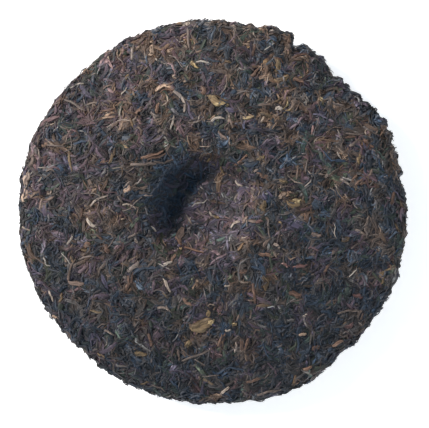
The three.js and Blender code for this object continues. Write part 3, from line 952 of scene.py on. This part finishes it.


# Leaves that catch the eye, each laid one by one: millimetres from the middle to the right and up, degrees,
# millimetres long and wide, bend, and tone from 0 to 1
handLaid = {
    "creamStems": {
        **rolledLeaf, "thick": 0.9, "top": (0.3, 0.6), "crumple": 0.11, "streaks": 3.4, "tints": 0.3,
        "paleShare": 0.35, "dark": (84, 74, 70), "middle": (134, 121, 113), "pale": (178, 165, 152),
        "leaves": [
            (-59, 6.3, 31, 12.5, 1.2, -0.25, 0.7), (-63.2, -6.2, -37, 7.5, 2.1, 0.35, 0.95),
            (-73.3, -13.7, 62, 7.5, 1.2, 0.2, 0.75), (-48, 6.3, -48, 5, 0.9, 0, 0.4),
            (-43, 3.2, -20, 8, 1.1, -0.3, 0.95), (-51.8, 0.2, -52, 6, 0.8, -0.1, 0.5),
            (-58.3, -2.5, -63, 6.5, 0.7, 0, 0.5), (-56.8, -1.5, -45, 5, 0.6, 0, 0.4),
            (-64.8, -23.2, 10, 9.5, 1, -0.35, 0.5), (-73.2, 14.6, 0, 4.6, 0.8, -0.5, 0.58),
            (-84, 21.6, 0, 5, 1, -0.5, 0.55), (-89, 17.5, 55, 6, 0.8, 0, 0.88),
            (-96.3, -8.4, -20, 5.5, 1, 0, 0.85), (-88.5, -25.5, -35, 8, 0.8, 0.1, 0.35),
            (-41.4, -12, 27, 6, 1, -0.1, 0.5), (-39.8, -15, -60, 2.6, 1.3, 0, 0.6),
            (-41, -28.2, 35, 8, 2.6, 0.1, 0.5), (-45.5, -33.7, 0, 2, 1.6, 0, 0.5),
            (-24, -37.6, -66, 9, 1.4, 0.12, 0.8), (-25.5, -49.4, -15, 6.5, 1.4, -0.4, 0.65),
            (-83.8, -43, -72, 7, 1.2, 0.2, 0.9), (-53.5, -62, -25, 6, 1.1, 0, 0.6),
            (5.8, -92, 48, 6.8, 1.5, 0, 0.85), (28.5, -92.3, 17, 14, 1.4, 0, 0.5),
            (-9, -74, 24, 17, 1.2, 0.05, 0.35), (-7, -77.4, -30, 7, 0.9, 0, 0.4),
            (7.5, -61, 8, 3.2, 1.2, 0, 0.98), (7.5, -38, 5, 3.6, 1, 0, 0.8),
            (6.7, -48.5, 88, 5, 0.9, 0, 0.2), (19.2, -52.7, 85, 4.6, 0.9, 0, 0.5),
            (-1, -1.3, -50, 4.6, 1.4, 0.1, 0.75), (10.9, -6, 42, 6.4, 1.5, -0.6, 0.72),
            (17.2, -5.5, 90, 5, 0.8, 0, 0.6), (12.8, 14.4, -38, 6, 1.4, 0, 0.75),
            (20.4, 11.9, -30, 3.2, 1.3, 0, 0.55), (23.5, 9.5, 80, 4, 0.9, 0, 0.5),
            (22, 21.2, 30, 3, 1.3, 0, 0.35), (28.5, -8.3, -87, 9.5, 1.1, 0.12, 0.25),
            (32.8, -17.4, -48, 4.2, 1.7, 0, 0.65), (13.2, -16.4, 27, 7, 0.9, 0, 0),
            (48, 24, 80, 7, 0.9, 0, 0.5), (62, -20.5, 60, 2.6, 1.5, 0, 0.4), (79, -4.6, 68, 6, 1, 0, 0.5),
            (78.5, -10.4, -80, 5, 1.2, 0, 0.35), (69.2, -51.2, 9, 12.5, 1.3, 0, 0.35),
            (47, -53.4, 35, 3.8, 1.7, 0, 0.7), (-71, 55.2, -27, 13, 1.2, -0.05, 0.6),
            (-47.8, 52.4, 83, 6.5, 0.8, 0, 0.9), (-45.3, 47.2, -4, 7, 0.9, 0.15, 0.7),
            (-41.4, 82.5, 84, 11, 1.5, 0.1, 0.7), (-47.3, 77.6, -55, 6, 0.8, -0.3, 0.45),
            (-27.5, 77.6, -28, 6, 0.9, 0, 1), (-13, 89.5, -83, 12, 1.4, 0.05, 0.5),
            (-13.8, 97, -15, 5, 2.4, 0, 0.8), (-16.5, 57.5, -62, 13, 1.9, -0.42, 0.65),
            (-21.5, 61.2, 30, 4, 0.9, 0, 0.75), (-30.3, 50, -28, 5, 1.7, 0.3, 0.62),
            (-21, 46, 78, 8, 1.1, 0.1, 0.85), (2.2, 48.3, 12, 7, 1.4, -0.5, 0.88),
            (20.8, 92.5, -80, 8, 0.9, 0, 0.8), (30, 93.6, 0, 3, 1.4, 0, 1),
            (34, 53.6, -5, 3.6, 2.4, 0, 0.95), (46.5, 60, 80, 4, 1.3, 0, 0.6),
            (72.5, 40, -1, 12, 0.9, 0.03, 0.5), (71.5, 34.5, 20, 3.2, 1.8, 0, 0.4),
            (-81, 34.2, -4, 11, 0.9, -0.08, 0.45), (-36, 24.5, 3, 14, 1.8, 0.03, 0.4),
            (-25.5, 25.8, 8, 11, 1.3, 0.05, 0.05), (-33.5, 8.4, 3, 5, 0.8, 0, 0.55),
            (-30.5, -8.7, -45, 4.6, 1.5, 0, 1), (68, 15.4, -28, 7, 1.4, 0, 0.7),
            (53.5, 19.5, -5, 7, 1.2, 0, 0.55), (58, 18.6, 70, 2.6, 1.4, 0, 0.55),
            (11.6, -69.6, 86, 6, 1.2, 0, 0.7), (-23.3, -26.2, 28, 5.4, 1.6, 0, 0.95),
            (62, 73.2, 42, 4, 0.6, 0.1, 0.1),
        ],
    },
    "peachLeaves": {  # from rust to peach
        **rolledLeaf, "thick": 1.0, "top": (0.3, 0.6), "crumple": 0.12, "streaks": 3.6, "tints": 0.3,
        "paleShare": 0.3, "dark": (82, 62, 53), "middle": (134, 107, 91), "pale": (184, 158, 136),
        "leaves": [
            (-25.3, 64.2, 8, 10, 2.6, -0.5, 0.85), (-24, 62.8, 4, 7, 1.1, -0.4, 0.3),
            (-5.5, 62.5, -50, 4.5, 2.6, 0, 0.4), (-54.5, 52.4, 10, 9, 1.4, 0.1, 0.4),
            (-54, 50.3, 14, 8, 1.3, 0, 0.85), (-55, 48.6, 12, 10, 1.6, 0, 0.8),
            (-45.5, 53, -40, 6, 2, 0, 0.25), (-38, 52.8, 40, 6, 2.6, 0, 0.3), (-31.5, 83, 85, 6, 2.8, 0, 1),
            (-22, 83, 20, 3.6, 2.2, 0, 0.75), (-28.8, 53.5, 80, 6, 1.6, 0, 0.6),
            (21, 71, 52, 9, 1.8, 0, 0.35), (18, 63.5, 58, 9, 1.5, 0, 0.25),
            (20.8, 83.5, 82, 7, 1.5, 0, 0.15), (46.5, 79.6, 2, 7, 1.6, 0, 0.75),
            (45.5, 81.6, 3, 11, 1.1, 0, 0.05), (33.5, 78.7, -3, 7, 1.1, 0, 0.2),
            (44, 68, -5, 6, 2.6, 0, 0.3), (80, 35.4, -38, 6.5, 2.4, 0, 0.2),
            (70.5, 38.6, 5, 6, 1.2, 0, 0.3), (-87, 34.5, 14, 5, 1.9, 0, 0.7),
            (-44.3, 11.7, 35, 4.6, 2.4, 0, 0.8), (-67.8, 0, 82, 5, 1.6, 0, 0.1),
            (-65.2, -17, 58, 5.4, 3.2, 0, 0.4), (-54.8, -18.6, -50, 5.4, 2.6, 0, 0.12),
            (-58.6, -13, -35, 4.5, 1.2, 0, 0.1), (-31.5, 29.5, 22, 13, 1.8, 0.05, 0.45),
            (-29, 28.2, 18, 11, 1.2, 0, 0.15), (-57, 25.3, 30, 6, 1.8, 0, 0.3),
            (-81, -54.2, -12, 5.5, 2.2, 0, 0.85), (-43.8, -36.5, 86, 8, 1.6, 0, 0.3),
            (-41.6, -34, 80, 7, 1.3, 0, 0.15), (-32.5, -65.8, -78, 7.5, 2, 0, 0.1),
            (-20.8, -23.8, 52, 5.5, 1.6, 0, 0.5), (-17.6, -14.4, -55, 6, 2.4, 0, 0.45),
            (-10, -19.4, -16, 11, 1.5, 0.05, 0.55), (-13.5, -46.3, -33, 6, 2, 0, 0.45),
            (3.7, -66, 73, 7.5, 1.8, 0, 0.4), (5.4, -65, 80, 6, 1.2, 0, 0.4),
            (14.6, -68.2, 80, 6.5, 2.4, 0, 0.2), (17.2, -68, 74, 7, 1.6, 0, 0.3),
            (20.8, -42, -83, 11, 1.6, 0, 0.15), (20.8, -86.6, 22, 8, 1.6, 0, 0.3),
            (46, -63, 4, 4.8, 1.5, 0, 0.85), (58.6, -28.6, 50, 8, 1.7, 0, 0.5),
            (64, -67.5, 36, 6.5, 1.6, 0, 0.55), (53, -70, 30, 4.6, 2.4, 0, 0.15),
            (42, -42.3, -20, 6.5, 3, 0, 0.12), (15, -30.6, 10, 5.5, 2.4, 0, 0.15),
            (27, -22.2, -12, 8, 2, 0, 0.4), (48.2, -2.6, 88, 4.8, 3, 0, 0.3),
            (72.5, 17.4, 60, 5, 1.4, 0, 0.48), (75, 15.6, 40, 6.5, 1.4, 0, 0.4),
            (78.5, 15, 20, 7, 1.6, 0, 0.3), (14.5, 26.4, 40, 9, 1.9, 0, 0.4),
            (25.6, 18.4, -33, 8.5, 2.4, 0, 0.4), (92, 7, 80, 7, 1.8, 0, 0.12),
            (48.5, -80.4, 25, 5.5, 1.6, 0, 0.6), (-97, 9, 84, 7.5, 4, 0, 0.85),
        ],
    },
    "goldenLeaves": {
        **broadLeaf, "thick": 1.1, "top": (0.4, 0.7), "crumple": 0.15, "streaks": 4.4, "tints": 0.2,
        "paleShare": 0.3, "dark": (78, 63, 48), "middle": (130, 111, 82), "pale": (180, 160, 120),
        "leaves": [
            (2.6, 57.6, -23, 13.5, 4, 0.05, 0.7), (4, 58.6, -25, 10, 1.2, 0, 0.1),
            (43, 5.4, -4, 11, 5.4, 0.05, 0.35), (43, 5.6, -4, 5.5, 3.4, 0, 0.75),
            (-6, -58, 25, 14, 6, 0.1, 0.25), (-1.6, -56.6, 62, 4.4, 3, 0, 0.8),
            (-2.4, -52.3, 80, 4, 2.4, 0, 0.5), (-11, -59.4, -60, 4.4, 2, 0, 0.3),
            (36, 15.8, -20, 5.4, 2, 0, 0.35), (37.6, 55.5, 70, 8, 1.4, 0.2, 0.75),
            (38.6, 52.2, 20, 6, 1.4, -0.3, 0.65), (33.2, 57.8, 40, 5, 1.6, 0, 0.15),
            (56.2, 57.8, -72, 5.5, 1.5, 0.2, 0.8), (33, 75, 84, 8, 3.6, 0, 0.35),
            (35, 68.8, -6, 9, 3.4, 0, 0.25), (27, 50.4, -22, 7, 2.8, 0, 0.15),
            (-74, 26.5, -86, 13, 1.4, 0.05, 0.5), (-52.6, 27.5, 70, 6.5, 1.5, 0, 0.28),
            (-9.8, 76, -50, 6, 2, 0.4, 0.75), (-2.4, 26.6, 35, 6.5, 1.6, 0, 0.5),
            (4.4, 21.4, -58, 4.8, 1.6, 0, 0.5), (24.4, 28, 35, 5.4, 1.8, 0, 0.5),
            (26, 3.4, 80, 5.5, 3, 0, 0.3), (-66.8, -19.6, 5, 4, 1.6, 0, 0.3),
            (-78, -44, 80, 5.5, 1.6, 0, 0.2), (-37.6, -73, -17, 7.5, 2.4, 0, 0.42),
            (-57.8, -74, -15, 5.5, 2.2, 0, 0.4), (-35.5, -88.4, 12, 6.5, 1, 0, 0.3),
            (-13, -68, 60, 4.6, 2.6, 0, 0.4), (27, -36.5, -80, 8.5, 2.4, 0, 0.15),
            (26, -48.2, 3, 8.5, 1.8, 0, 0.05), (11, -57.6, 0, 2.8, 2, 0, 0.65),
            (68, -14, 50, 5.5, 2.6, 0, 0.05), (74.8, 27.2, 85, 6.5, 1.6, 0, 0.55),
            (88.4, -30, 22, 9.5, 1.4, 0, 0.5), (87.3, -34.6, 80, 7.5, 1.2, 0.1, 0.35),
            (94.4, -7.8, -52, 8, 1.3, 0, 0.05), (-51, 30.5, 75, 6, 1.2, 0, 0),
            (1.6, -2.6, -20, 3.6, 1.5, 0, 0.5),
        ],
    },
    "tanLeaves": {
        **broadLeaf, "thick": 1.0, "top": (0.4, 0.65), "streaks": 4.2, "tints": 0.3, "paleShare": 0.25,
        "dark": (80, 68, 61), "middle": (128, 110, 101), "pale": (166, 148, 134),
        "leaves": [
            (-93.2, 27, 76, 8.5, 3.2, 0, 0.45), (-96.2, 16.5, 76, 9.5, 3.8, 0, 0.9),
            (-88, 4.5, 64, 8.5, 2.4, 0, 0.65), (-84, 7, 20, 5.5, 1.8, 0, 0.35),
            (-73.5, -31, 76, 17, 1.6, -0.08, 0.2), (-70.6, -37, 0, 9.5, 2.4, 0, 0.45),
            (-16.4, -11.2, 78, 7.5, 3.8, 0, 0.35), (15.8, -3.6, 62, 4.4, 2.4, 0, 0.65),
            (20, -4.6, -8, 6, 2, 0, 0.3), (53, -11.8, 0, 5.5, 2.4, 0, 0.5),
            (81, 20.4, 60, 4.6, 1.8, 0, 0.6), (16.4, 3, 62, 4.4, 2, 0, 0.45),
            (26.5, 55, 2, 8.5, 1.6, -0.1, 0.45), (-50.8, 45, 42, 6, 2, 0, 0.5),
            (-9.5, 89, -50, 7, 1.6, 0, 0.3), (4.8, 39.4, -45, 7, 1.6, 0, 0.4),
            (27.4, -15.5, 50, 6.5, 2, 0, 0.25), (-17.8, -73.6, -80, 7.5, 1.4, 0, 0.25),
            (-37.5, 88, 35, 8, 1.6, 0.1, 0.35),
        ],
    },
    "redLeaves": {
        **broadLeaf, "thick": 0.9, "top": (0.35, 0.6), "streaks": 4.2, "tints": 0.2, "paleShare": 0.2,
        "dark": (76, 56, 55), "middle": (118, 86, 82), "pale": (172, 142, 136),
        "leaves": [
            (44.6, -27.8, 9, 9.5, 1.9, 0.05, 0.55), (37, -27.3, -18, 5.5, 1.5, 0, 0.78),
            (23.4, -5, 2, 4.6, 1.8, 0, 0.35), (74.8, -43, -15, 6, 2.6, 0, 0.15),
            (80, 33.6, -35, 4, 1.2, 0, 0.4), (70, -58, 20, 6, 2.4, 0, 0.05), (-87, 27, 70, 6, 2.4, 0, 0.05),
        ],
    },
    "edgeLumps": {
        **broadLeaf, "thick": 2.6, "top": (0.5, 1.0), "crumple": 0.16, "tints": 0.2,
        "dark": (24, 28, 34), "middle": (52, 54, 62), "pale": (92, 88, 92),
        "leaves": [
            (36, 92.6, -22, 11, 3.6, 0.1, 0.2), (39, 89, -30, 7, 4, 0, 0.2),
            (46, 85, -12, 9.5, 3.4, -0.3, 0.15), (49.5, 82, -40, 7, 3, 0, 0.2),
            (56, 78.4, -33, 8.5, 2.6, 0, 0.2), (58.5, 74, -50, 5.5, 2, 0, 0.3),
            (64, 69.6, -20, 7, 2.4, 0, 0.2), (68.5, 66, -50, 6, 2.4, 0, 0.2),
            (73.5, 60.5, -40, 8, 2.6, 0, 0.3), (79, 56, -40, 6, 2.4, 0, 0.2),
            (84, 51, -30, 6, 2.4, 0.1, 0.2), (88, 47, -20, 6, 2.4, 0, 0.1), (91, 41, -65, 6, 2.6, 0, 0.2),
            (93.5, 33, -72, 8, 2.4, 0, 0.2), (96.4, 22, -75, 7, 2.2, 0, 0.2),
            (98.5, 8, -82, 7, 2.2, 0, 0.2), (-84, -51, -65, 5, 2.4, 0, 0.2),
            (-69, -69, -15, 6, 2.4, 0, 0.2), (-59, -78, -65, 5, 2.4, 0, 0.2),
            (72, -67.6, 5, 5, 2.2, 0, 0.2), (80, -58.5, 80, 5, 2.2, 0, 0.2),
            (91, -41.6, 60, 5, 2.2, 0, 0.2), (-10, -98, 8, 6, 2, 0, 0.2), (-3, -98.6, -4, 5, 1.8, 0, 0.2),
        ],
    },
}
byHand = {  # what chance adds to the listed leaves
    "thick": (0.8, 1.2),
    "sway": 0.04,
    "roll": 0.15,
    "twist": 0.25,
    "dip": 0.25 * mm,
    "mapStart": (0.3, 0.6),
    "mapRun": (0.16, 0.26),
}


def layByHand(rng, kind):  # the rows give place, direction, size, bend and tone, and chance the rest
    x, y, heading, length, width, bend, tone = np.array(kind["leaves"], float).T
    count = len(x)
    return {
        "at": onSheet(x, y),
        "onFront": np.zeros(count, bool),
        "heading": np.radians(heading),
        "length": length * mm,
        "width": width * mm,
        "thick": kind["thick"] * mm * rng.uniform(*byHand["thick"], count),
        "bend": bend,
        "sway": rng.normal(0, byHand["sway"], count),
        "phase": rng.uniform(0, 2 * np.pi, count),
        "roll": rng.normal(0, byHand["roll"], count),
        "twist": rng.normal(0, byHand["twist"], count),
        "tilt": np.zeros(count),
        "dip": np.full(count, byHand["dip"]),
        "top": rng.uniform(*kind["top"], count) * mm,
        "column": np.floor(tone * skin["columns"]).astype(int),
        "mapStart": rng.uniform(*byHand["mapStart"], count),
        "mapRun": rng.uniform(*byHand["mapRun"], count),
    }


pieces = [makeCore(makeCoreMaterial())]
print("core made")


def addLeaves(name, kind, rng, laid):  # each kind's noises lie one step further on
    material = makeLeafMaterial(name, kind, len(pieces) * skin["seedStep"])
    pieces.append(sweepLeaves(name, material, rng, laid, kind))
    print(name, "laid:", len(laid["at"]))


for number, (count, kinds) in enumerate(layers):
    rng = np.random.default_rng(100 + number)
    shares = shareOut(rng, count, list(kinds.values()))
    for (name, kind), (at, onFront) in zip(kinds.items(), shares):
        addLeaves(name, kind, rng, scatter(rng, kind, at, onFront))
for number, (name, kind) in enumerate(handLaid.items()):
    rng = np.random.default_rng(300 + number)
    addLeaves(name, kind, rng, layByHand(rng, kind))

for piece in pieces:
    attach(piece, "root")
    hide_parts("tea_cake")
print("all pieces ride on the cake")
